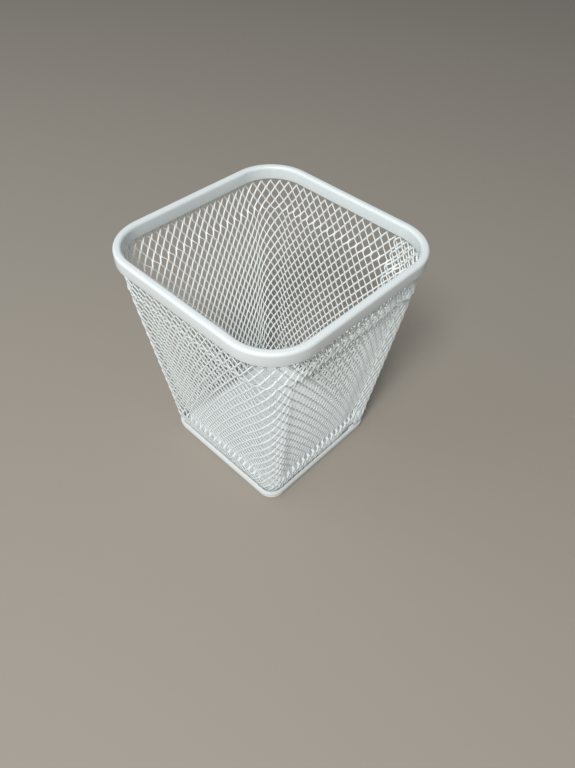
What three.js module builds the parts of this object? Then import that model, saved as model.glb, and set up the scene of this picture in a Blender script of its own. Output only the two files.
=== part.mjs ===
// Square desk cup for pens: a tapered wall of expanded-metal mesh between a folded steel rim
// and a rolled steel foot hoop, with a pressed steel floor. Millimetres, +Z up. The origin is
// the middle of the footprint, on the surface that the cup stands on.

import * as THREE from 'three';

// Rim: a strip folded over the top edge of the mesh.
const CUP_HEIGHT = 100;
const RIM_SIDE = 88.6;
const RIM_CORNER = 18.5;
const RIM_HEIGHT = 5.2;
const RIM_WIDTH = 3.1;
const RIM_SLOT = 1.5;
const RIM_TOP_SKIN = 0.75;
const RIM_CROWN = 1.1;
const RIM_EDGE = 0.3;

// Mesh wall: the sheet as a closed shell, at the depth that its tilted strands take up.
const WALL_THICKNESS = 0.7;
const WALL_HALF_AT_TABLE = 30.4;
const WALL_SLOPE = 0.13;
const WALL_CORNER_AT_TABLE = 5.3;
const WALL_CORNER_GROWTH = 0.08;
const COLLAR_BOTTOM = 94;
const CORNER_OPENS_FROM = 75;
const WALL_TOP = 98.6;
const WALL_FOOT = 1.1;

// Pressed panel in each of the four faces.
const PANEL_DEPTH = 1.6;
const PANEL_BOTTOM = 12.8;
const PANEL_TOP = 82.9;
const PANEL_STEP_HEIGHT = 1.8;
const PANEL_INSET = 11.3;
const PANEL_FADE = 9.5;
const CREASE_CLEARANCE = 0.5;

// Foot hoop: a channel, open upwards, that holds the foot of the mesh.
const FOOT_HALF = 29.75;
const FOOT_CORNER = 4.6;
const FOOT_SLOT = 1.4;
const FOOT_FLARE = 0.4;
const FOOT_BEND = 7;
const HOOP_HEIGHT = 4.2;
const HOOP_LEAF = 0.5;
const HOOP_FLOOR = 0.6;
const HOOP_INSIDE_HEIGHT = 3.2;
const BEAD = 0.35;
const GROOVE_HEIGHT = 2.1;

// Floor plate, with its edge turned down inside the hoop.
const ASSEMBLY_GAP = 0.3;
const PLATE_THICKNESS = 0.7;
const PLATE_TOP = 3.2;
const PLATE_FLANGE_BOTTOM = 0.5;

// Facets.
const CORNER_STEPS = 9;
const CROWN_STEPS = 4;
const WALL_LEVELS = 5;
const COLLAR_LEVELS = 3;

const POWDER_COAT = { color: 0xe9eeee, roughness: 0.38, metalness: 0.0 };

// Share of the panel's depth at a distance along the outline from the middle of a side: all of it
// on the flat, then less and less into the corner.
function pressShare(reach, half) {
  const past = THREE.MathUtils.clamp((reach - half + PANEL_INSET) / PANEL_FADE, 0, 1);
  return (1 - past) ** 1.2;
}

// Points round one quarter of a rounded square, from the middle of the -Y side to the middle of
// the +X side. Each has its place, the outward direction and its share of the panel's depth.
function quarterOutline(half, corner) {
  const sideEnd = half - corner;
  const crease = Math.max(0, Math.min(half - PANEL_INSET, sideEnd - CREASE_CLEARANCE));
  const sideStops = [0, crease, (crease + sideEnd) / 2, sideEnd];
  const points = sideStops.map((along) => (
    { x: along, y: -half, nx: 0, ny: -1, press: pressShare(along, half) }
  ));
  for (let step = 1; step < CORNER_STEPS; step += 1) {
    const angle = (Math.PI / 2) * (step / CORNER_STEPS);
    const nx = Math.sin(angle);
    const ny = -Math.cos(angle);
    const reach = sideEnd + corner * Math.min(angle, Math.PI / 2 - angle);
    const press = pressShare(reach, half);
    points.push({ x: sideEnd + corner * nx, y: -sideEnd + corner * ny, nx, ny, press });
  }
  for (const along of sideStops.slice(1).reverse()) {
    points.push({ x: half, y: -along, nx: 1, ny: 0, press: pressShare(along, half) });
  }
  return points;
}

// A closed section carried round a rounded square. Each point of the section gives the half side
// and corner radius of its outline, its height, and how far its faces are pressed in.
function squareRing(section) {
  const closed = section[0].half === 0 ? section : [...section, section[0]];
  const quarterLength = quarterOutline(1, 0).length;
  const stops = 4 * quarterLength;
  const profile = closed.map(({ half, z }) => new THREE.Vector2(half, z));
  const ring = new THREE.LatheGeometry(profile, stops);
  ring.rotateX(Math.PI / 2);

  const position = ring.attributes.position;
  closed.forEach(({ half, corner, z, dent = 0 }, level) => {
    const outline = quarterOutline(half, corner);
    for (let stop = 0; stop <= stops; stop += 1) {
      const point = outline[stop % quarterLength];
      const place = new THREE.Vector2(point.x, point.y);
      place.x -= point.nx * point.press * dent;
      place.y -= point.ny * point.press * dent;
      const quarter = Math.floor(stop / quarterLength) % 4;
      place.rotateAround(new THREE.Vector2(), (quarter * Math.PI) / 2);
      position.setXYZ(stop * closed.length + level, place.x, place.y, z);
    }
  });
  ring.computeVertexNormals();
  return ring;
}

// Points on a quarter circle in a section, from one angle to the next, both in degrees.
function arc(offset, z, radius, from, to) {
  const points = [];
  for (let step = 0; step <= CROWN_STEPS; step += 1) {
    const angle = THREE.MathUtils.degToRad(from + ((to - from) * step) / CROWN_STEPS);
    points.push([offset + radius * Math.cos(angle), z + radius * Math.sin(angle)]);
  }
  return points;
}

// A section drawn as [offset, z] from a centre line becomes the points that squareRing reads.
function aroundLine(half, corner, outline) {
  return outline.map(([offset, z]) => ({ half: half + offset, corner: corner + offset, z }));
}

function topRim() {
  const outer = RIM_WIDTH / 2;
  const slot = RIM_SLOT / 2;
  const bottom = CUP_HEIGHT - RIM_HEIGHT;
  const crownZ = CUP_HEIGHT - RIM_CROWN;
  const slotTop = CUP_HEIGHT - RIM_TOP_SKIN;
  const outline = [
    [outer - RIM_EDGE, bottom],
    [outer, bottom + RIM_EDGE],
    ...arc(outer - RIM_CROWN, crownZ, RIM_CROWN, 0, 90),
    ...arc(RIM_CROWN - outer, crownZ, RIM_CROWN, 90, 180),
    [-outer, bottom + RIM_EDGE],
    [RIM_EDGE - outer, bottom],
    [-slot, bottom],
    [-slot, slotTop],
    [slot, slotTop],
    [slot, bottom],
  ];
  return squareRing(aroundLine(RIM_SIDE / 2 - outer, RIM_CORNER - outer, outline));
}

// Middle of the wall's sheet at a height above the foot's bend.
function wallAt(z) {
  const collarHalf = (RIM_SIDE - RIM_WIDTH) / 2;
  const collarCorner = RIM_CORNER - RIM_WIDTH / 2;
  const opening = THREE.MathUtils.smoothstep(z, CORNER_OPENS_FROM, COLLAR_BOTTOM);
  const corner = WALL_CORNER_AT_TABLE + WALL_CORNER_GROWTH * z;
  return {
    half: Math.min(collarHalf, WALL_HALF_AT_TABLE + WALL_SLOPE * z),
    corner: THREE.MathUtils.lerp(corner, collarCorner, opening),
    z,
  };
}

function meshWall() {
  const middle = [
    { half: FOOT_HALF, corner: FOOT_CORNER, z: WALL_FOOT },
    { half: FOOT_HALF, corner: FOOT_CORNER, z: GROOVE_HEIGHT },
    { half: FOOT_HALF + FOOT_FLARE, corner: FOOT_CORNER + FOOT_FLARE, z: HOOP_HEIGHT },
    wallAt(FOOT_BEND),
    wallAt(PANEL_BOTTOM),
  ];
  const pressedFrom = PANEL_BOTTOM + PANEL_STEP_HEIGHT;
  const pressedTo = PANEL_TOP - PANEL_STEP_HEIGHT;
  for (let level = 0; level <= WALL_LEVELS; level += 1) {
    const z = THREE.MathUtils.lerp(pressedFrom, pressedTo, level / WALL_LEVELS);
    middle.push({ ...wallAt(z), dent: PANEL_DEPTH });
  }
  for (let level = 0; level <= COLLAR_LEVELS; level += 1) {
    middle.push(wallAt(THREE.MathUtils.lerp(PANEL_TOP, COLLAR_BOTTOM, level / COLLAR_LEVELS)));
  }
  middle.push(wallAt(WALL_TOP));

  const skin = WALL_THICKNESS / 2;
  const shifted = (point, by) => ({ ...point, half: point.half + by, corner: point.corner + by });
  const outside = middle.map((point) => shifted(point, skin));
  const inside = middle.map((point) => shifted(point, -skin)).reverse();
  return squareRing([...outside, ...inside]);
}

function baseHoop() {
  const slot = FOOT_SLOT / 2;
  const leaf = slot + HOOP_LEAF;
  const flaredLeaf = leaf + FOOT_FLARE;
  const lowerMiddle = GROOVE_HEIGHT / 2;
  const upperMiddle = (GROOVE_HEIGHT + HOOP_HEIGHT) / 2;
  const beadHalf = (HOOP_HEIGHT - GROOVE_HEIGHT) / 4;
  const outline = [
    [slot, 0],
    [leaf, lowerMiddle - beadHalf],
    [leaf + BEAD, lowerMiddle],
    [leaf + BEAD, lowerMiddle + beadHalf],
    [leaf, GROOVE_HEIGHT],
    [flaredLeaf + BEAD, upperMiddle - beadHalf],
    [flaredLeaf + BEAD, upperMiddle + beadHalf],
    [flaredLeaf, HOOP_HEIGHT],
    [slot + FOOT_FLARE, HOOP_HEIGHT],
    [slot, GROOVE_HEIGHT],
    [slot, HOOP_FLOOR],
    [-slot, HOOP_FLOOR],
    [-slot, HOOP_INSIDE_HEIGHT],
    [-leaf, HOOP_INSIDE_HEIGHT],
    [-leaf, HOOP_LEAF],
    [HOOP_LEAF - leaf, 0],
  ];
  return squareRing(aroundLine(FOOT_HALF, FOOT_CORNER, outline));
}

function basePlate() {
  const inset = FOOT_SLOT / 2 + HOOP_LEAF + ASSEMBLY_GAP;
  const half = FOOT_HALF - inset;
  const corner = FOOT_CORNER - inset;
  const bend = PLATE_THICKNESS;
  const underside = PLATE_TOP - PLATE_THICKNESS;
  const outline = [
    [-PLATE_THICKNESS - bend / 2, underside],
    [-PLATE_THICKNESS, underside - bend / 2],
    [-PLATE_THICKNESS, PLATE_FLANGE_BOTTOM],
    [0, PLATE_FLANGE_BOTTOM],
    ...arc(-bend, PLATE_TOP - bend, bend, 0, 90),
  ];
  const section = [
    { half: 0, corner: 0, z: underside },
    ...aroundLine(half, corner, outline),
    { half: 0, corner: 0, z: PLATE_TOP },
  ];
  return squareRing(section);
}

const cup = new THREE.Group();

function addPiece(name, geometry) {
  const piece = new THREE.Mesh(geometry, new THREE.MeshStandardMaterial(POWDER_COAT));
  piece.name = name;
  cup.add(piece);
}

addPiece('top_rim', topRim());
addPiece('mesh_wall', meshWall());
addPiece('base_hoop', baseHoop());
addPiece('base_plate', basePlate());

export default cup;
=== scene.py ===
"""Square mesh pen cup: the folded rim, the expanded-metal wall, the foot hoop and the floor plate.

The script is laid out as an add-on: each piece has its own operator, and the sizes and colours
that a user would change are properties in the 3D view's sidebar. Lengths are in metres, written
as millimetres times MM.
"""

import math

import bmesh
import bpy
from bpy.props import FloatProperty, FloatVectorProperty, IntProperty, PointerProperty
from mathutils import Matrix, Vector, noise


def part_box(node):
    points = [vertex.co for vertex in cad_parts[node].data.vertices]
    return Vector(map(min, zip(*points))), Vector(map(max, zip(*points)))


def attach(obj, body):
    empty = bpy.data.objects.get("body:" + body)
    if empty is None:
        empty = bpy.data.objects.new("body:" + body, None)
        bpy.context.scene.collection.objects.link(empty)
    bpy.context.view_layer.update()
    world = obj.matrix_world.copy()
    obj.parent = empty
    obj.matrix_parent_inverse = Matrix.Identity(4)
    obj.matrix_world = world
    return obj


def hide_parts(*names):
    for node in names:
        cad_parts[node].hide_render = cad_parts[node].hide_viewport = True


bl_info = {
    "name": "Mesh Pen Cup",
    "version": (1, 0, 0),
    "blender": (4, 5, 0),
    "location": "View3D > Sidebar > Pen Cup",
    "description": "Builds a square desk cup of expanded metal with a folded rim and a rolled foot",
    "category": "Add Mesh",
}

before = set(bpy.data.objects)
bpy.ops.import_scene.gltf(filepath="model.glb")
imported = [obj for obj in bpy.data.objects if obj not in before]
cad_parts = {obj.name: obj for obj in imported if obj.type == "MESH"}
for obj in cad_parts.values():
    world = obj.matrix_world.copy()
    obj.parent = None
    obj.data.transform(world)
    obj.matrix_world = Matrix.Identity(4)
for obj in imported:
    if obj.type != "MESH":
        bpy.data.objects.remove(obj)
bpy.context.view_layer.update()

MM = 0.001
BODY = "root"
UP = Vector((0, 0, 1))
QUARTER = math.pi / 2

RIM_LOW, RIM_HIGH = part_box("top_rim")
HOOP_LOW, HOOP_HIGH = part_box("base_hoop")
PLATE_LOW, PLATE_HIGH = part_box("base_plate")

# The rim, as folded.
RIM_WIDTH = 3.1 * MM
RIM_CORNER = 18.5 * MM

# The wall's middle surface. Its side grows evenly from the table to the collar inside the rim,
# and its corners open out below the rim.
WALL_HALF_AT_TABLE = 30.4 * MM
WALL_SLOPE = 0.13
WALL_CORNER_AT_TABLE = 5.3 * MM
WALL_CORNER_GROWTH = 0.08
COLLAR_HALF = RIM_HIGH[0] - RIM_WIDTH / 2
COLLAR_CORNER = RIM_CORNER - RIM_WIDTH / 2
COLLAR_BOTTOM = 94 * MM
CORNER_OPENS_FROM = 75 * MM

# The wall's foot, tucked into the hoop.
FOOT_HALF = 29.75 * MM
FOOT_CORNER = 4.6 * MM
FOOT_FLARE = 0.4 * MM
FOOT_GROOVE = 2.1 * MM
FOOT_BEND = 7 * MM

# The panel that is pressed into each face. It starts to fade at the inset from the wall's side,
# and the power rounds the fade.
PANEL_BOTTOM = 12.8 * MM
PANEL_TOP = 82.9 * MM
PANEL_STEP = 1.8 * MM
PANEL_INSET = 11.3 * MM
PANEL_FADE = 9.5 * MM
PANEL_FADE_POWER = 1.2

# Points nearer than this are one point where a strip closes on itself.
WELD_DISTANCE = 0.001 * MM

# Angles between faces past which an edge is shaded sharp.
STRIP_SHARP = math.radians(50)
MESH_SHARP = math.radians(60)


# ---------------------------------------------------------------------------------------------
# Properties


class PenCupWall(bpy.types.PropertyGroup):
    """The expanded-metal sheet."""

    cells_round: IntProperty(
        name="Cells round", description="Diamonds in one turn of the wall",
        default=80, min=20, max=120)
    lap_strands: IntProperty(
        name="Lap strands", description="Strands by which the sheet's ends overlap",
        default=16, min=0, max=40)
    rows: IntProperty(
        name="Rows", description="Rows of bonds from foot to rim", default=34, min=8, max=60)
    foot_height: FloatProperty(
        name="First row", description="Height of the lowest bonds",
        default=3.9 * MM, unit="LENGTH")
    row_pitch: FloatProperty(
        name="Row pitch", description="Height from one row of bonds to the next, at the foot",
        default=2.52 * MM, unit="LENGTH")
    row_growth: FloatProperty(
        name="Pitch growth", description="How much the pitch grows with each row",
        default=0.0105 * MM, precision=6, unit="LENGTH")
    row_climb: FloatProperty(
        name="Row climb", description="Rows by which the sheet climbs in one turn", default=0.96)
    row_pull: FloatProperty(
        name="Row pull", description="How far the pressing draws the panel's rows up",
        default=1.1 * MM, unit="LENGTH")
    lap_slip: FloatProperty(
        name="Lap slip", description="Pitches and rows by which the sheet's last end falls short",
        default=0.4)
    strand_width: FloatProperty(
        name="Strand width", description="Width of the metal between two slits",
        default=0.52 * MM, unit="LENGTH")
    sheet_thickness: FloatProperty(
        name="Sheet thickness", description="Thickness of the coated sheet",
        default=0.38 * MM, unit="LENGTH")
    bond_height: FloatProperty(
        name="Bond height", description="Height of the metal where two strands meet",
        default=0.42 * MM, unit="LENGTH")
    strand_tilt: FloatProperty(
        name="Strand tilt", description="Turn of each strand out of the sheet, like a louvre",
        default=math.radians(34), subtype="ANGLE", unit="ROTATION")
    panel_depth: FloatProperty(
        name="Panel depth", description="How far each face is pressed in",
        default=1.6 * MM, unit="LENGTH")


class PenCupStrips(bpy.types.PropertyGroup):
    """The rim and the foot hoop."""

    rim_width: FloatProperty(
        name="Rim width", description="Thickness of the folded rim",
        default=RIM_WIDTH, unit="LENGTH")
    rim_corner: FloatProperty(
        name="Rim corner", description="Outer radius of the rim's corners",
        default=RIM_CORNER, unit="LENGTH")
    rim_slot: FloatProperty(
        name="Rim slot", description="Width of the slot that grips the mesh",
        default=1.5 * MM, unit="LENGTH")
    rim_crown: FloatProperty(
        name="Rim crown", description="Radius of the rim's upper edges",
        default=1.15 * MM, unit="LENGTH")
    strip_edge: FloatProperty(
        name="Strip edge", description="Radius of the rim's lower edges",
        default=0.3 * MM, unit="LENGTH")
    waviness: FloatProperty(
        name="Waviness", description="Unevenness left in the rim by the folding",
        default=0.06 * MM, unit="LENGTH")
    wave_length: FloatProperty(
        name="Wave length", description="Length of the rim's uneven stretches",
        default=14 * MM, unit="LENGTH")
    corner_steps: IntProperty(
        name="Corner steps", description="Segments in each corner", default=20, min=4, max=64)
    side_steps: IntProperty(
        name="Side steps", description="Segments along each side", default=24, min=1, max=64)


class PenCupFinish(bpy.types.PropertyGroup):
    """The powder coat."""

    # All four pieces wear one white powder coat. The differences between these colours are painted light
    # and shade: the rim's is darker and the mesh's lighter, each matched to how bright that piece looks
    # under the light, and the hoop's is darkest, as painted shade where it meets the table.
    rim_colour: FloatVectorProperty(
        name="Rim colour", description="Coat on the rim", default=(0.74, 0.785, 0.795),
        subtype="COLOR", size=3)
    mesh_colour: FloatVectorProperty(
        name="Mesh colour", description="Coat on the mesh", default=(0.83, 0.875, 0.875),
        subtype="COLOR", size=3)
    hoop_shaded_colour: FloatVectorProperty(
        name="Hoop colour", description="Coat on the foot hoop", default=(0.68, 0.71, 0.705),
        subtype="COLOR", size=3)
    plate_colour: FloatVectorProperty(
        name="Plate colour", description="Coat on the floor plate", default=(0.83, 0.86, 0.865),
        subtype="COLOR", size=3)
    peel_size: FloatProperty(
        name="Peel size", description="Width of the coat's soft ripples",
        default=1.1 * MM, unit="LENGTH")
    peel_height: FloatProperty(
        name="Peel height", description="Depth of the coat's soft ripples",
        default=0.006 * MM, precision=6, unit="LENGTH")


class PenCupStage(bpy.types.PropertyGroup):
    """The floor and the camera."""

    floor_colour: FloatVectorProperty(
        name="Floor colour", description="Plain floor", default=(0.32, 0.285, 0.245),
        subtype="COLOR", size=3)
    azimuth: FloatProperty(
        name="Azimuth", description="Camera's turn round the cup", default=math.radians(42.63),
        subtype="ANGLE", unit="ROTATION")
    elevation: FloatProperty(
        name="Elevation", description="Camera's angle above the table", default=math.radians(48.11),
        subtype="ANGLE", unit="ROTATION")
    roll: FloatProperty(
        name="Roll", description="Camera's tilt to one side", default=math.radians(1.84),
        subtype="ANGLE", unit="ROTATION")
    distance: FloatProperty(
        name="Distance", description="Camera to the plane through the foot's middle",
        default=283.2 * MM, unit="LENGTH")
    aim_right: FloatProperty(
        name="Aim right", description="Sideways shift of the camera's aim",
        default=6.9 * MM, unit="LENGTH")
    aim_up: FloatProperty(
        name="Aim up", description="Upward shift of the camera's aim",
        default=17.8 * MM, unit="LENGTH")
    lens: FloatProperty(
        name="Lens", description="Focal length in millimetres on a 36 mm sensor",
        default=28.2, min=10, max=200)


# ---------------------------------------------------------------------------------------------
# Shape helpers


def smooth(value, low, high):
    """0 below low, 1 above high, and a smooth curve between."""
    share = min(1.0, max(0.0, (value - low) / (high - low)))
    return share * share * (3 - 2 * share)


def mix(low, high, share):
    """The value a share of the way from low to high."""
    return low + (high - low) * share


def tapered_outline(z):
    """Half side and corner radius of the wall's middle, away from the foot."""
    half = min(COLLAR_HALF, WALL_HALF_AT_TABLE + WALL_SLOPE * z)
    corner = WALL_CORNER_AT_TABLE + WALL_CORNER_GROWTH * z
    return half, mix(corner, COLLAR_CORNER, smooth(z, CORNER_OPENS_FROM, COLLAR_BOTTOM))


def wall_outline(z):
    """Half side and corner radius of the wall's middle at any height."""
    if z >= FOOT_BEND:
        return tapered_outline(z)
    flare = FOOT_FLARE * min(1.0, max(0.0, (z - FOOT_GROOVE) / (HOOP_HIGH[2] - FOOT_GROOVE)))
    bend_half, bend_corner = tapered_outline(FOOT_BEND)
    share = smooth(z, HOOP_HIGH[2], FOOT_BEND)
    return mix(FOOT_HALF + flare, bend_half, share), mix(FOOT_CORNER + flare, bend_corner, share)


def panel_share(reach, half, z):
    """1 on the pressed panel and 0 outside it, with a step above and below and a crease at each
    side. reach is the distance along the outline from the middle of the face."""
    past = min(1.0, max(0.0, (reach - half + PANEL_INSET) / PANEL_FADE))
    across = (1 - past) ** PANEL_FADE_POWER
    rise = smooth(z, PANEL_BOTTOM, PANEL_BOTTOM + PANEL_STEP)
    fall = 1 - smooth(z, PANEL_TOP - PANEL_STEP, PANEL_TOP)
    return across * rise * fall


def wall_point(turn, z, proud, panel_depth):
    """A point on the wall. turn counts anticlockwise from the middle of the front (-Y) side, z is
    the height, and proud is how far the point stands out from the sheet's middle."""
    half, corner = wall_outline(z)
    straight = half - corner
    side = 2 * straight + QUARTER * corner
    quarter, share = divmod((turn % 1.0) * 4, 1)
    along = share * side
    if along < straight:
        place, outward, reach = Vector((along, -half, z)), Vector((0, -1, 0)), along
    elif along > side - straight:
        reach = side - along
        place, outward = Vector((half, -reach, z)), Vector((1, 0, 0))
    else:
        angle = (along - straight) / corner
        outward = Vector((math.sin(angle), -math.cos(angle), 0))
        place = Vector((straight, -straight, z)) + corner * outward
        reach = min(along, side - along)
    pressed = panel_depth * panel_share(reach, half, z)
    place += (proud - pressed) * outward
    return Matrix.Rotation(quarter * QUARTER, 3, "Z") @ place


def finish_piece(name, bm, nodes, material, sharp_angle):
    """Turns a bmesh into a piece that rides on the cup and stands for its CAD nodes."""
    mesh = bpy.data.meshes.new(name)
    bm.to_mesh(mesh)
    bm.free()
    mesh.shade_smooth()
    mesh.set_sharp_from_angle(angle=sharp_angle)
    piece = bpy.data.objects.new(name, mesh)
    bpy.context.scene.collection.objects.link(piece)
    mesh.materials.append(material)
    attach(piece, BODY)
    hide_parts(*nodes)
    return piece


def arc(offset, z, radius, start, end, steps):
    """Points on part of a circle in a section. The angles are in degrees."""
    angles = [math.radians(mix(start, end, step / steps)) for step in range(steps + 1)]
    return [(offset + radius * math.cos(angle), z + radius * math.sin(angle)) for angle in angles]


def carry_section(points, half, corner, side_steps, corner_steps):
    """Draws a closed section of (offset, z) points on the middle of the front side, then extrudes
    it along each side and spins it round each corner until it meets itself."""
    bm = bmesh.new()
    loop = [bm.verts.new((0, -half - offset, z)) for offset, z in points]
    edges = [bm.edges.new(pair) for pair in zip(loop, loop[1:] + loop[:1])]
    straight = half - corner
    for quarter in range(4):
        turn = Matrix.Rotation(quarter * QUARTER, 3, "Z")
        edges = extrude_along(bm, edges, turn @ Vector((straight, 0, 0)), side_steps // 2)
        centre = turn @ Vector((straight, -straight, 0))
        spun = bmesh.ops.spin(
            bm, geom=edges, cent=centre, axis=UP, angle=QUARTER, steps=corner_steps, use_merge=False)
        edges = [part for part in spun["geom_last"] if isinstance(part, bmesh.types.BMEdge)]
        edges = extrude_along(bm, edges, turn @ Vector((0, straight, 0)), side_steps // 2)
    bmesh.ops.remove_doubles(bm, verts=bm.verts, dist=WELD_DISTANCE)
    bmesh.ops.recalc_face_normals(bm, faces=bm.faces)
    return bm


def extrude_along(bm, edges, travel, steps):
    """Extrudes a loop of edges along a straight line, in equal steps."""
    for _ in range(steps):
        made = bmesh.ops.extrude_edge_only(bm, edges=edges)["geom"]
        verts = [part for part in made if isinstance(part, bmesh.types.BMVert)]
        bmesh.ops.translate(bm, verts=verts, vec=travel / steps)
        drawn = [part for part in made if isinstance(part, bmesh.types.BMEdge)]
        edges = [edge for edge in drawn if all(vert in verts for vert in edge.verts)]
    return edges


def unsettle(bm, amount, wavelength, seed):
    """Moves every point a little sideways by a smooth noise, as folding by rollers does."""
    for vert in bm.verts:
        where = vert.co / wavelength + Vector((seed, 0, 0))
        outward = Vector((vert.co.x, vert.co.y, 0)).normalized()
        vert.co += outward * noise.noise(where) * amount


# ---------------------------------------------------------------------------------------------
# Materials


def new_group(name, inputs, outputs):
    """A shader node group with named sockets. Each input is (name, socket type, default)."""
    group = bpy.data.node_groups.new(name, "ShaderNodeTree")
    for label, kind, default in inputs:
        socket = group.interface.new_socket(name=label, in_out="INPUT", socket_type=kind)
        socket.default_value = default
    for label, kind in outputs:
        group.interface.new_socket(name=label, in_out="OUTPUT", socket_type=kind)
    source = group.nodes.new("NodeGroupInput")
    sink = group.nodes.new("NodeGroupOutput")
    return group, source.outputs, sink.inputs


def add_noise(tree, vector, scale, detail, roughness=0.5):
    """A noise texture. Its scale is a number or a socket."""
    node = tree.nodes.new("ShaderNodeTexNoise")
    node.inputs["Detail"].default_value = detail
    node.inputs["Roughness"].default_value = roughness
    tree.links.new(vector, node.inputs["Vector"])
    if isinstance(scale, bpy.types.NodeSocket):
        tree.links.new(scale, node.inputs["Scale"])
    else:
        node.inputs["Scale"].default_value = scale
    return node.outputs["Fac"]


def add_math(tree, operation, first, second, third=None):
    """A math node. Each value is a number or a socket."""
    node = tree.nodes.new("ShaderNodeMath")
    node.operation = operation
    for index, value in enumerate((first, second, third)):
        if isinstance(value, bpy.types.NodeSocket):
            tree.links.new(value, node.inputs[index])
        elif value is not None:
            node.inputs[index].default_value = value
    return node.outputs[0]


def add_range(tree, value, from_low, from_high, to_low, to_high):
    """Stretches a value from one range to another. Each bound is a number or a socket."""
    node = tree.nodes.new("ShaderNodeMapRange")
    tree.links.new(value, node.inputs["Value"])
    bounds = {"From Min": from_low, "From Max": from_high, "To Min": to_low, "To Max": to_high}
    for label, bound in bounds.items():
        if isinstance(bound, bpy.types.NodeSocket):
            tree.links.new(bound, node.inputs[label])
        else:
            node.inputs[label].default_value = bound
    return node.outputs["Result"]


def add_mix(tree, share, first, second):
    """Mixes two colours. A mix node keeps the sockets of its colour mode at 0, 6, 7 and 2."""
    node = tree.nodes.new("ShaderNodeMix")
    node.data_type = "RGBA"
    for index, value in {0: share, 6: first, 7: second}.items():
        if isinstance(value, bpy.types.NodeSocket):
            tree.links.new(value, node.inputs[index])
        else:
            node.inputs[index].default_value = value
    return node.outputs[2]


# How closely the coat's patterns lie, in noise cells per metre: slow changes of tone, fine
# specks, and changes of gloss.
TONE_SCALE = 38.0
SPECK_SCALE = 5200.0
GLOSS_SCALE = 160.0
SHADE_COLOUR = (0.42, 0.47, 0.50, 1)
SPECK_COLOUR = (0.25, 0.25, 0.24, 1)
# A finer ripple lies on the coat's main one: how many times closer it lies, and its strength.
FINE_PEEL_SCALE = 3.1
FINE_PEEL_SHARE = 0.3
# Patches in the painted shade near the bottom of each piece, in noise cells per metre.
PAINTED_SHADE_SCALE = 420.0
# How much rougher the coat is where the painted shade lies.
PAINTED_SHADE_ROUGHNESS = 0.4
# The clear skin that the powder leaves as it melts.
SKIN_WEIGHT = 0.15
SKIN_ROUGHNESS = 0.22


def powder_coat_group():
    """Powder coat: soft ripples, slow changes of tone and of gloss, and fine specks."""
    group, given, result = new_group(
        "Powder Coat",
        [
            ("Vector", "NodeSocketVector", (0, 0, 0)),
            ("Colour", "NodeSocketColor", (0.8, 0.8, 0.8, 1)),
            ("Tone Change", "NodeSocketFloat", 0.05),
            ("Peel Scale", "NodeSocketFloat", 900.0),
            ("Gloss Low", "NodeSocketFloat", 0.3),
            ("Gloss High", "NodeSocketFloat", 0.42),
        ],
        [("Colour", "NodeSocketColor"), ("Roughness", "NodeSocketFloat"), ("Height", "NodeSocketFloat")],
    )
    slow = add_noise(group, given["Vector"], TONE_SCALE, 3.0)
    tone_share = add_range(group, slow, 0.3, 0.7, 0.0, 1.0)
    tone = add_math(group, "MULTIPLY", tone_share, given["Tone Change"])
    darker = add_mix(group, tone, given["Colour"], SHADE_COLOUR)
    specks = add_noise(group, given["Vector"], SPECK_SCALE, 2.0)
    speck_share = add_range(group, specks, 0.66, 0.76, 0.0, 0.5)
    speck_mask = add_math(group, "MULTIPLY", speck_share, given["Tone Change"])
    speckled = add_mix(group, speck_mask, darker, SPECK_COLOUR)
    group.links.new(speckled, result["Colour"])

    gloss = add_noise(group, given["Vector"], GLOSS_SCALE, 2.0)
    roughness = add_range(group, gloss, 0.3, 0.7, given["Gloss Low"], given["Gloss High"])
    group.links.new(roughness, result["Roughness"])

    ripple = add_noise(group, given["Vector"], given["Peel Scale"], 1.0)
    fine_scale = add_math(group, "MULTIPLY", given["Peel Scale"], FINE_PEEL_SCALE)
    fine = add_noise(group, given["Vector"], fine_scale, 1.0)
    height = add_math(group, "MULTIPLY_ADD", fine, FINE_PEEL_SHARE, ripple)
    group.links.new(height, result["Height"])
    return group


def painted_shade_group():
    """Painted shade: patches that darken the colour, full low down and thinning out upwards."""
    group, given, result = new_group(
        "Painted Low Shade",
        [
            ("Vector", "NodeSocketVector", (0, 0, 0)),
            ("Colour", "NodeSocketColor", (0.8, 0.8, 0.8, 1)),
            ("Painted Shade Colour", "NodeSocketColor", (0.36, 0.34, 0.31, 1)),
            ("Low", "NodeSocketFloat", 0.0),
            ("High", "NodeSocketFloat", 0.004),
            ("Amount", "NodeSocketFloat", 0.2),
        ],
        [("Colour", "NodeSocketColor"), ("Mask", "NodeSocketFloat")],
    )
    split = group.nodes.new("ShaderNodeSeparateXYZ")
    group.links.new(given["Vector"], split.inputs[0])
    height = add_range(group, split.outputs["Z"], given["Low"], given["High"], 1.0, 0.0)
    scatter = add_noise(group, given["Vector"], PAINTED_SHADE_SCALE, 5.0, 0.62)
    patches = add_range(group, scatter, 0.42, 0.66, 0.15, 1.0)
    low_patches = add_math(group, "MULTIPLY", height, patches)
    mask = add_math(group, "MULTIPLY", low_patches, given["Amount"])
    # Painted shade: the colour is darkened in patches towards the bottom of the piece.
    shaded_colour = add_mix(group, mask, given["Colour"], given["Painted Shade Colour"])
    group.links.new(shaded_colour, result["Colour"])
    group.links.new(mask, result["Mask"])
    return group


def group_node(tree, group, values):
    """Places a node group. Each of its values is a constant or a socket."""
    node = tree.nodes.new("ShaderNodeGroup")
    node.node_tree = group
    for label, value in values.items():
        if isinstance(value, bpy.types.NodeSocket):
            tree.links.new(value, node.inputs[label])
        else:
            node.inputs[label].default_value = value
    return node.outputs


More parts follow.
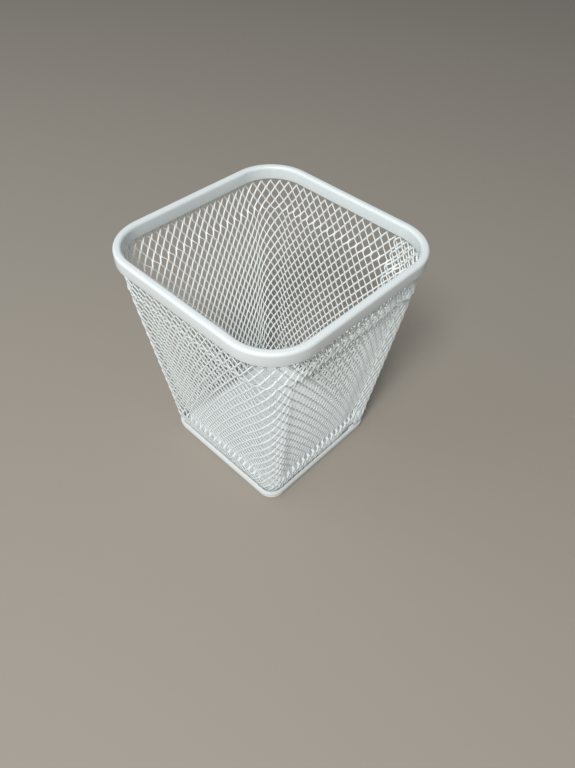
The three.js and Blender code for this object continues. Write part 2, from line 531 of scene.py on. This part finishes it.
def coated_metal(name, colour, tone, gloss, painted_shade):
    """White powder coat on steel. tone is the strength of the coat's changes, gloss its lowest
    and highest roughness, and the last argument gives the painted shade near the bottom: the height
    where it is full, where it ends, and its strength."""
    finish = bpy.context.scene.pen_cup_finish
    material = bpy.data.materials.new(name)
    material.use_nodes = True
    tree = material.node_tree
    shader = tree.nodes["Principled BSDF"]
    place = tree.nodes.new("ShaderNodeTexCoord").outputs["Object"]

    coat = group_node(tree, bpy.data.node_groups["Powder Coat"], {
        "Vector": place,
        "Colour": (*colour, 1),
        "Tone Change": tone,
        "Peel Scale": 1 / finish.peel_size,
        "Gloss Low": gloss[0],
        "Gloss High": gloss[1],
    })
    shaded_coat = group_node(tree, bpy.data.node_groups["Painted Low Shade"], {
        "Vector": place,
        "Colour": coat["Colour"],
        "Low": painted_shade[0],
        "High": painted_shade[1],
        "Amount": painted_shade[2],
    })
    # Painted shade: the base colour is darkened in patches towards the bottom of the piece, and the same
    # mask makes the coat rougher there.
    tree.links.new(shaded_coat["Colour"], shader.inputs["Base Color"])
    rough = add_math(tree, "MULTIPLY_ADD", shaded_coat["Mask"], PAINTED_SHADE_ROUGHNESS, coat["Roughness"])
    tree.links.new(rough, shader.inputs["Roughness"])

    bump = tree.nodes.new("ShaderNodeBump")
    bump.inputs["Distance"].default_value = finish.peel_height
    bump.inputs["Strength"].default_value = 1.0
    tree.links.new(coat["Height"], bump.inputs["Height"])
    tree.links.new(bump.outputs["Normal"], shader.inputs["Normal"])
    shader.inputs["Coat Weight"].default_value = SKIN_WEIGHT
    shader.inputs["Coat Roughness"].default_value = SKIN_ROUGHNESS
    return material


# ---------------------------------------------------------------------------------------------
# Operators


class PENCUP_OT_finishes(bpy.types.Operator):
    """Make the powder-coat materials"""

    bl_idname = "pencup.finishes"
    bl_label = "Powder Coat"

    def execute(self, context):
        finish = context.scene.pen_cup_finish
        powder_coat_group()
        painted_shade_group()
        rim_bottom = RIM_LOW[2]
        # Each coat is darkened in patches at the bottom of its piece as painted shade: under the rim's
        # lower edge, over the mesh's lowest rows, and on the hoop and plate near the table.
        coated_metal(
            "rim_coat", finish.rim_colour, tone=0.10, gloss=(0.38, 0.48),
            painted_shade=(rim_bottom, rim_bottom + 0.8 * MM, 0.12))
        coated_metal(
            "mesh_coat", finish.mesh_colour, tone=0.08, gloss=(0.36, 0.48),
            painted_shade=(5 * MM, 16 * MM, 0.10))
        coated_metal(
            "hoop_coat", finish.hoop_shaded_colour, tone=0.10, gloss=(0.30, 0.42),
            painted_shade=(0.0, 3.6 * MM, 0.22))
        coated_metal(
            "plate_coat", finish.plate_colour, tone=0.10, gloss=(0.30, 0.42),
            painted_shade=(0.0, 2.8 * MM, 0.22))
        return {"FINISHED"}


class PENCUP_OT_rim(bpy.types.Operator):
    """Fold the rim over the mesh's upper edge"""

    bl_idname = "pencup.rim"
    bl_label = "Top Rim"

    # Metal above the slot, the slot's inner fold, and the bevel at its mouth.
    TOP_SKIN = 0.75 * MM
    SLOT_FOLD = 0.4 * MM
    MOUTH_BEVEL = 0.08 * MM
    NOISE_SEED = 3

    def execute(self, context):
        size = context.scene.pen_cup_strips
        outer = size.rim_width / 2
        slot = size.rim_slot / 2
        edge = size.strip_edge
        crown = size.rim_crown
        fold = self.SLOT_FOLD
        mouth = self.MOUTH_BEVEL
        bottom, top = RIM_LOW[2], RIM_HIGH[2]
        slot_top = top - self.TOP_SKIN
        points = [
            *arc(outer - edge, bottom + edge, edge, -90, 0, 4),
            *arc(outer - crown, top - crown, crown, 0, 90, 9),
            *arc(crown - outer, top - crown, crown, 90, 180, 9),
            *arc(edge - outer, bottom + edge, edge, 180, 270, 4),
            (-slot - mouth, bottom),
            (-slot, bottom + mouth),
            *arc(fold - slot, slot_top - fold, fold, 180, 90, 4),
            *arc(slot - fold, slot_top - fold, fold, 90, 0, 4),
            (slot, bottom + mouth),
            (slot + mouth, bottom),
        ]
        half = RIM_HIGH[0] - outer
        bm = carry_section(points, half, size.rim_corner - outer, size.side_steps, size.corner_steps)
        unsettle(bm, size.waviness, size.wave_length, self.NOISE_SEED)
        coat = bpy.data.materials["rim_coat"]
        finish_piece("rim_strip", bm, ["top_rim"], coat, STRIP_SHARP)
        return {"FINISHED"}


class PENCUP_OT_mesh(bpy.types.Operator):
    """Slit a flat sheet, expand it and roll it into the wall, with its ends overlapped"""

    bl_idname = "pencup.mesh"
    bl_label = "Mesh Wall"

    # One bond and three lengths of strand make one row.
    PARTS = 4
    # Height and sideways share of each part's end, from one bond to the next.
    STRAND_STOPS = ((0.0, 0.0), (0.16, 0.10), (0.84, 0.90), (1.0, 1.0))
    # How much wider a strand is halfway between its bonds.
    STRAND_SWELL = 0.22
    # The sheet is flat in the hoop and in the rim: heights over which the tilt comes and goes.
    TILT_COMES = (5.2 * MM, 7.4 * MM)
    TILT_GOES = (94.2 * MM, 95.4 * MM)
    # Panel steps over which the rows' pull comes in above the panel's bottom, and goes out
    # below its top.
    PULL_COMES = 2.5
    PULL_GOES = 1.5
    # Where on the outline the sheet starts, in turns from the middle of the front side.
    LAP_TURN = 0.3345
    # Pitches by which a turn is longer than its cells, so that the overlapped ends interleave.
    LAP_PITCH_SHIFT = 0.9
    # Strands before and after a full turn over which the last end's slip comes in.
    SLIP_COMES = (8, 4)
    # How far the first end stands out, and the pitches from the start over which that fades.
    LAP_OUT = 0.25 * MM
    LAP_OUT_FADES = (15, 22)
    # How far the last end goes in, and the pitches short of a turn over which it does.
    LAP_IN = 0.72 * MM
    LAP_IN_COMES = (7, 1)

    def execute(self, context):
        size = context.scene.pen_cup_wall
        strands = 2 * size.cells_round + size.lap_strands
        stations = self.PARTS * size.rows
        bm = bmesh.new()
        bmesh.ops.create_grid(bm, x_segments=strands, y_segments=stations, size=0.5)
        self.slit(bm, strands, stations)
        self.expand(bm, size, strands, stations)
        bmesh.ops.recalc_face_normals(bm, faces=bm.faces)
        bmesh.ops.solidify(bm, geom=bm.faces, thickness=size.sheet_thickness)
        bmesh.ops.recalc_face_normals(bm, faces=bm.faces)
        coat = bpy.data.materials["mesh_coat"]
        finish_piece("mesh_sheet", bm, ["mesh_wall"], coat, MESH_SHARP)
        return {"FINISHED"}

    def slit(self, bm, strands, stations):
        """Cuts between neighbouring strands, except where a bond joins them."""
        cuts = []
        for edge in bm.edges:
            low, high = sorted(edge.verts, key=lambda vert: vert.co.y)
            if high.co.y - low.co.y < 0.5 / stations or edge.is_boundary:
                continue
            line = round((low.co.x + 0.5) * strands)
            row, part = divmod(round((low.co.y + 0.5) * stations), self.PARTS)
            if part or (line + row) % 2:
                cuts.append(edge)
        bmesh.ops.split_edges(bm, edges=cuts)

    def expand(self, bm, size, strands, stations):
        """Pulls each strand to its zigzag, tilts it, and rolls the sheet round the cup."""
        round_pitch = 2 * size.cells_round + self.LAP_PITCH_SHIFT
        places = []
        for vert in bm.verts:
            line = round((vert.co.x + 0.5) * strands)
            station = round((vert.co.y + 0.5) * stations)
            centres = [face.calc_center_median().x for face in vert.link_faces]
            lean = sum(centres) / len(centres) - vert.co.x
            if abs(lean) < 0.1 / strands:
                side = 0
            else:
                side = -1 if lean > 0 else 1
            places.append((vert, line, station, side))
        for vert, line, station, side in places:
            across, z, proud = self.strand_point(size, line, station, side, round_pitch)
            proud += self.lap_offset(across, round_pitch)
            turn = self.LAP_TURN + across / round_pitch
            vert.co = wall_point(turn, z, proud, size.panel_depth)

    def strand_point(self, size, line, station, side, round_pitch):
        """Place of a strand's edge: pitches along the sheet, height, and stand-off. side is -1 on
        a strand's left edge, 1 on its right edge, and 0 in the middle of a bond."""
        row, part = divmod(station, self.PARTS)
        if part:
            rise, swing = self.STRAND_STOPS[part - 1]
        else:
            row, rise, swing = row - 1, 1.0, 1.0
        turn_end = 2 * size.cells_round
        before, after = self.SLIP_COMES
        slip = size.lap_slip * smooth(line, turn_end - before, turn_end + after)
        climb = size.row_climb * line / round_pitch - slip
        low = self.row_height(size, row + climb) + size.bond_height / 2
        high = self.row_height(size, row + 1 + climb) - size.bond_height / 2
        z = mix(low, high, rise)
        half, corner = wall_outline(z)
        pitch = (8 * (half - corner) + 4 * QUARTER * corner) / round_pitch
        tilt = size.strand_tilt * smooth(z, *self.TILT_COMES) * (1 - smooth(z, *self.TILT_GOES))
        width = size.strand_width * (1 + self.STRAND_SWELL * 4 * swing * (1 - swing))
        reach = size.strand_width / 2 * math.cos(tilt) / pitch
        depth = size.strand_width / 2 * math.sin(tilt)
        strand = line if side <= 0 else line - 1
        here = self.strand_middle(strand, row, reach)
        there = self.strand_middle(strand, row + 1, reach)
        across = mix(here[0], there[0], swing) - slip
        proud = depth * mix(here[1], there[1], swing)
        if side == 0:
            side = -1
        across += side * width / 2 * math.cos(tilt) / pitch
        proud += side * width / 2 * math.sin(tilt)
        return across, z, proud

    @staticmethod
    def strand_middle(strand, row, reach):
        """A strand's middle in its bond: the line it is bonded on, less or plus half its width,
        and -1 or 1 for the side of the bond that it is on."""
        if (strand + row) % 2:
            return strand + 1 - reach, -1
        return strand + reach, 1

    def row_height(self, size, row):
        """Height of a row of bonds. The pressing draws the panel's rows up towards its top step."""
        z = size.foot_height + row * size.row_pitch + row * row * size.row_growth / 2
        rise = smooth(z, PANEL_BOTTOM, PANEL_BOTTOM + self.PULL_COMES * PANEL_STEP)
        fall = 1 - smooth(z, PANEL_TOP - self.PULL_GOES * PANEL_STEP, PANEL_TOP)
        return z + size.row_pull * rise * fall

    def lap_offset(self, across, round_pitch):
        """The sheet's first end lies outside, and its last end slips in behind it."""
        outside = self.LAP_OUT * (1 - smooth(across, *self.LAP_OUT_FADES))
        far, near = self.LAP_IN_COMES
        inside = self.LAP_IN * smooth(across, round_pitch - far, round_pitch - near)
        return outside - inside


class PENCUP_OT_hoop(bpy.types.Operator):
    """Roll the foot hoop, with its two ridges"""

    bl_idname = "pencup.hoop"
    bl_label = "Foot Hoop"

    # Offsets from the mesh's middle: the channel's inner face, its outer face, and the lip that
    # is pressed onto the mesh at the top.
    SLOT = 0.7 * MM
    LEAF = 1.2 * MM
    LIP = 0.25 * MM
    # Heights of the channel's floor and of its inner leaf.
    CHANNEL_FLOOR = 0.6 * MM
    INNER_TOP = 3.2 * MM
    # The two rolled ridges: their radius, and how far they stand out of the leaf.
    RIDGE = 0.9 * MM
    RIDGE_PROUD = 0.35 * MM
    LOWER_RIDGE_RAISED = 0.05 * MM
    # The groove between them is a little deeper at its foot and shallower at its top.
    GROOVE_HALF = 0.1 * MM
    GROOVE_DEEPER = 0.02 * MM
    GROOVE_SHALLOWER = 0.06 * MM
    # Radii of the strip's cut edges and of the fold under the inner leaf.
    EDGE = 0.2 * MM
    BEVEL = 0.1 * MM
    FOLD = 0.5 * MM

    def execute(self, context):
        size = context.scene.pen_cup_strips
        slot, leaf, lip = self.SLOT, self.LEAF, self.LIP
        edge, bevel, fold = self.EDGE, self.BEVEL, self.FOLD
        ridge = self.RIDGE
        flared = leaf + FOOT_FLARE
        bottom, top = HOOP_LOW[2], HOOP_HIGH[2]
        lower_ridge_z = FOOT_GROOVE / 2 + self.LOWER_RIDGE_RAISED
        upper_ridge_z = (FOOT_GROOVE + top) / 2
        points = [
            (slot + bevel, bottom),
            *arc(leaf + self.RIDGE_PROUD - ridge, lower_ridge_z, ridge, -78, 50, 10),
            (leaf - self.GROOVE_DEEPER, FOOT_GROOVE - self.GROOVE_HALF),
            (leaf + self.GROOVE_SHALLOWER, FOOT_GROOVE + self.GROOVE_HALF),
            *arc(flared + self.RIDGE_PROUD - ridge, upper_ridge_z, ridge, -50, 50, 9),
            *arc(flared - edge, top - edge, edge, 20, 90, 3),
            *arc(lip + FOOT_FLARE + bevel, top - bevel, bevel, 90, 180, 2),
            (slot, FOOT_GROOVE),
            (slot, self.CHANNEL_FLOOR),
            (-slot, self.CHANNEL_FLOOR),
            (-slot, self.INNER_TOP - bevel),
            (-slot - bevel, self.INNER_TOP),
            *arc(edge - leaf, self.INNER_TOP - edge, edge, 90, 180, 3),
            *arc(fold - leaf, bottom + fold, fold, 180, 270, 5),
        ]
        bm = carry_section(points, FOOT_HALF, FOOT_CORNER, size.side_steps, size.corner_steps // 2)
        coat = bpy.data.materials["hoop_coat"]
        finish_piece("hoop_strip", bm, ["base_hoop"], coat, STRIP_SHARP)
        return {"FINISHED"}


class PENCUP_OT_plate(bpy.types.Operator):
    """Press the floor plate, with its edge turned down"""

    bl_idname = "pencup.plate"
    bl_label = "Floor Plate"

    CORNER = 3.1 * MM
    THICKNESS = 0.6 * MM
    # Width of the flat border, in two strips.
    BORDER = 0.9 * MM
    BORDER_INNER = 2.2 * MM
    # The shallow pressed step goes down in two strips, each this wide and this deep.
    STEP_WIDTH = 0.7 * MM
    STEP_DEPTH = 0.12 * MM
    # Edges sharper than this angle, in radians, are folds, and are rounded by the radius.
    FOLD_ANGLE = 1.0
    FOLD_RADIUS = 0.25 * MM

    def execute(self, context):
        bm = bmesh.new()
        bmesh.ops.create_grid(bm, x_segments=1, y_segments=1, size=PLATE_HIGH[0])
        bmesh.ops.translate(bm, verts=bm.verts, vec=(0, 0, PLATE_HIGH[2]))
        bmesh.ops.bevel(
            bm, geom=list(bm.verts), offset=self.CORNER, offset_type="OFFSET", affect="VERTICES",
            segments=10, profile=0.5, material=-1)
        border = self.inset(bm, bm.faces[:], self.BORDER)
        middle = [face for face in bm.faces if face not in border]
        self.inset(bm, middle, self.BORDER_INNER)
        for _ in range(2):
            self.inset(bm, middle, self.STEP_WIDTH, -self.STEP_DEPTH)
        outer_edges = [edge for edge in bm.edges if edge.is_boundary]
        extrude_along(bm, outer_edges, Vector((0, 0, PLATE_LOW[2] - PLATE_HIGH[2])), 3)
        bmesh.ops.recalc_face_normals(bm, faces=bm.faces)
        bmesh.ops.solidify(bm, geom=bm.faces, thickness=self.THICKNESS)
        bmesh.ops.recalc_face_normals(bm, faces=bm.faces)
        closed_edges = [edge for edge in bm.edges if len(edge.link_faces) == 2]
        folds = [edge for edge in closed_edges if edge.calc_face_angle() > self.FOLD_ANGLE]
        bmesh.ops.bevel(
            bm, geom=folds, offset=self.FOLD_RADIUS, offset_type="OFFSET", affect="EDGES",
            segments=3, profile=0.5, material=-1)
        coat = bpy.data.materials["plate_coat"]
        finish_piece("floor_plate", bm, ["base_plate"], coat, STRIP_SHARP)
        return {"FINISHED"}

    @staticmethod
    def inset(bm, faces, width, depth=0.0):
        """Draws a border inside a region, and returns the border's faces."""
        made = bmesh.ops.inset_region(
            bm, faces=faces, thickness=width, depth=depth, use_even_offset=True)
        return made["faces"]


class PENCUP_OT_stage(bpy.types.Operator):
    """Set the floor, the lights and the camera"""

    bl_idname = "pencup.stage"
    bl_label = "Stage"

    FLOOR_HALF = 3.0
    FLOOR_ROUGHNESS = 0.7
    ROOM_COLOUR = (0.85, 0.95, 1.0, 1)
    ROOM_STRENGTH = 0.21
    # The point that the lights are turned to, halfway up the cup.
    LIT_POINT = Vector((0, 0, 0.05))
    SENSOR_MILLIMETRES = 36
    NEAR_CLIP = 0.01

    def execute(self, context):
        stage = context.scene.pen_cup_stage
        self.add_floor(stage)
        self.add_light(
            "window", place=(0.32, -0.68, 1.02), side=0.34, power=14.2, colour=(1.0, 0.99, 0.97))
        self.add_light(
            "fill", place=(-0.7, -0.7, 0.55), side=1.0, power=3.6, colour=(0.90, 0.96, 1.0))
        self.add_room(context.scene)
        self.add_camera(stage)
        return {"FINISHED"}

    def add_room(self, scene):
        """Even light from all round."""
        world = bpy.data.worlds.new("room")
        world.use_nodes = True
        background = world.node_tree.nodes["Background"]
        background.inputs["Color"].default_value = self.ROOM_COLOUR
        background.inputs["Strength"].default_value = self.ROOM_STRENGTH
        scene.world = world
        scene.view_settings.view_transform = "Standard"

    def add_floor(self, stage):
        """A plain square floor."""
        bm = bmesh.new()
        bmesh.ops.create_grid(bm, x_segments=1, y_segments=1, size=self.FLOOR_HALF)
        mesh = bpy.data.meshes.new("studio_floor")
        bm.to_mesh(mesh)
        bm.free()
        floor = bpy.data.objects.new("studio_floor", mesh)
        bpy.context.scene.collection.objects.link(floor)
        material = bpy.data.materials.new("studio_floor")
        material.use_nodes = True
        shader = material.node_tree.nodes["Principled BSDF"]
        shader.inputs["Base Color"].default_value = (*stage.floor_colour, 1)
        shader.inputs["Roughness"].default_value = self.FLOOR_ROUGHNESS
        mesh.materials.append(material)

    def add_light(self, name, place, side, power, colour):
        """A square soft light, turned to the cup."""
        light = bpy.data.lights.new(name, "AREA")
        light.shape = "SQUARE"
        light.size = side
        light.energy = power
        light.color = colour
        lamp = bpy.data.objects.new(name, light)
        lamp.location = place
        aim = self.LIT_POINT - lamp.location
        lamp.rotation_euler = aim.to_track_quat("-Z", "Y").to_euler()
        bpy.context.scene.collection.objects.link(lamp)

    def add_camera(self, stage):
        """A camera that looks down at one corner of the cup."""
        turn, rise, roll = stage.azimuth, stage.elevation, stage.roll
        level = math.cos(rise)
        back = Vector((math.sin(turn) * level, -math.cos(turn) * level, math.sin(rise)))
        right = Vector((math.cos(turn), math.sin(turn), 0))
        up = back.cross(right)
        rolled_right = right * math.cos(roll) + up * math.sin(roll)
        rolled_up = up * math.cos(roll) - right * math.sin(roll)
        camera = bpy.data.objects.new("camera", bpy.data.cameras.new("camera"))
        camera.data.sensor_width = self.SENSOR_MILLIMETRES
        camera.data.lens = stage.lens
        camera.data.clip_start = self.NEAR_CLIP
        axes = Matrix((rolled_right, rolled_up, back)).transposed()
        place = right * stage.aim_right + up * stage.aim_up + back * stage.distance
        camera.matrix_world = Matrix.Translation(place) @ axes.to_4x4()
        bpy.context.scene.collection.objects.link(camera)
        bpy.context.scene.camera = camera


class PENCUP_PT_panel(bpy.types.Panel):
    """Lists the cup's pieces and sizes"""

    bl_idname = "PENCUP_PT_panel"
    bl_label = "Pen Cup"
    bl_space_type = "VIEW_3D"
    bl_region_type = "UI"
    bl_category = "Pen Cup"

    def draw(self, context):
        for operator in PIECE_OPERATORS:
            self.layout.operator(operator.bl_idname)
        for group in PROPERTY_GROUPS.values():
            settings = getattr(context.scene, group)
            box = self.layout.box()
            for label in settings.bl_rna.properties.keys():
                if label not in ("rna_type", "name"):
                    box.prop(settings, label)


PROPERTY_GROUPS = {
    PenCupWall: "pen_cup_wall",
    PenCupStrips: "pen_cup_strips",
    PenCupFinish: "pen_cup_finish",
    PenCupStage: "pen_cup_stage",
}
PIECE_OPERATORS = (
    PENCUP_OT_finishes,
    PENCUP_OT_rim,
    PENCUP_OT_mesh,
    PENCUP_OT_hoop,
    PENCUP_OT_plate,
    PENCUP_OT_stage,
)


def register():
    for group, name in PROPERTY_GROUPS.items():
        bpy.utils.register_class(group)
        setattr(bpy.types.Scene, name, PointerProperty(type=group))
    for operator in PIECE_OPERATORS:
        bpy.utils.register_class(operator)
    bpy.utils.register_class(PENCUP_PT_panel)


def unregister():
    bpy.utils.unregister_class(PENCUP_PT_panel)
    for operator in reversed(PIECE_OPERATORS):
        bpy.utils.unregister_class(operator)
    for group, name in PROPERTY_GROUPS.items():
        delattr(bpy.types.Scene, name)
        bpy.utils.unregister_class(group)


def main():
    register()
    bpy.ops.pencup.finishes()
    bpy.ops.pencup.rim()
    bpy.ops.pencup.mesh()
    bpy.ops.pencup.hoop()
    bpy.ops.pencup.plate()
    bpy.ops.pencup.stage()


if __name__ == "__main__":
    main()
